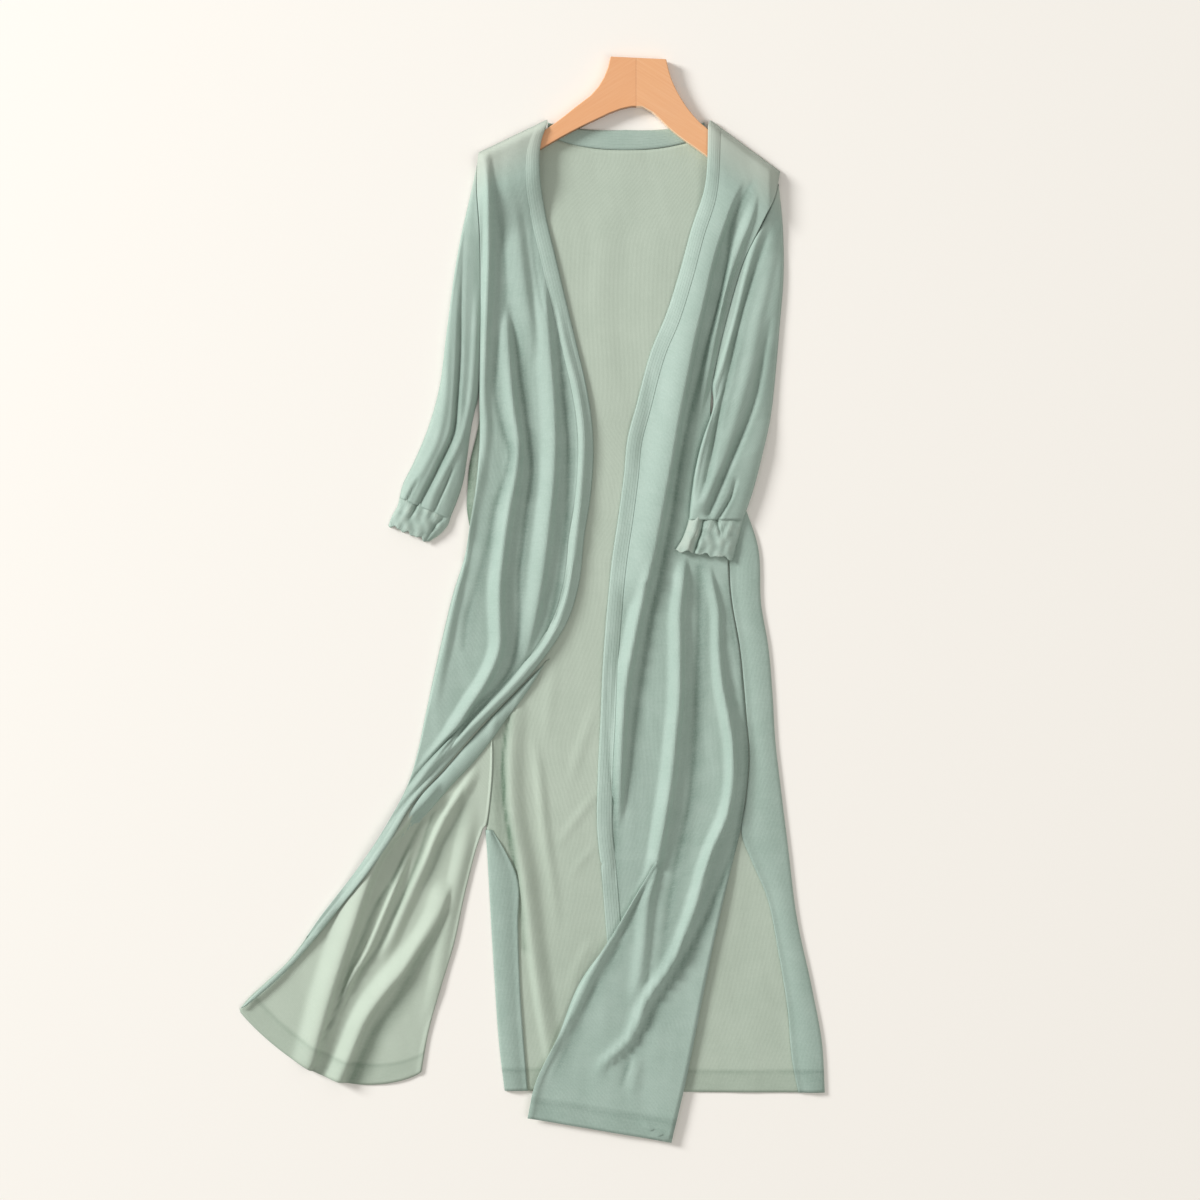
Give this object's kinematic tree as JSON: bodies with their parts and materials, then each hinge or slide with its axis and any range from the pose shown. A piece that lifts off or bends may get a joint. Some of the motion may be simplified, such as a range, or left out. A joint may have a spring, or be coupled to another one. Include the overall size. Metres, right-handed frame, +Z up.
{
  "type": "duster cardigan on hanger",
  "caption": "Long open-front knitted duster cardigan with ribbed edge band and gathered short-arm sleeves, laid flat on a wooden hanger, with a front turned back.",
  "frame": {"origin": "on the ground under the centre back, at half the garment's length, on the back panel's underside", "axes": "+Y towards the collar, -Y towards the hem, +X towards the right-hand sleeve as seen from above, +Z up out of the ground"},
  "size_m": [0.6727, 1.246, 0.02],
  "materials": {
    "jersey": "fine sage jersey knit, outer face",
    "jersey_panel": "fine sage jersey knit, inner face showing",
    "rib": "sage rib knit",
    "wood": "light clear-lacquered wood"
  },
  "bodies": {
    "root": {"back": "jersey_panel", "front_left": "jersey", "front_right": "jersey", "sleeve_left": "jersey", "sleeve_right": "jersey", "band_left": "rib", "band_neck": "rib", "band_right": "rib", "cuff_left": "rib", "cuff_right": "rib", "hanger": "wood"}
  },
  "joints": []
}
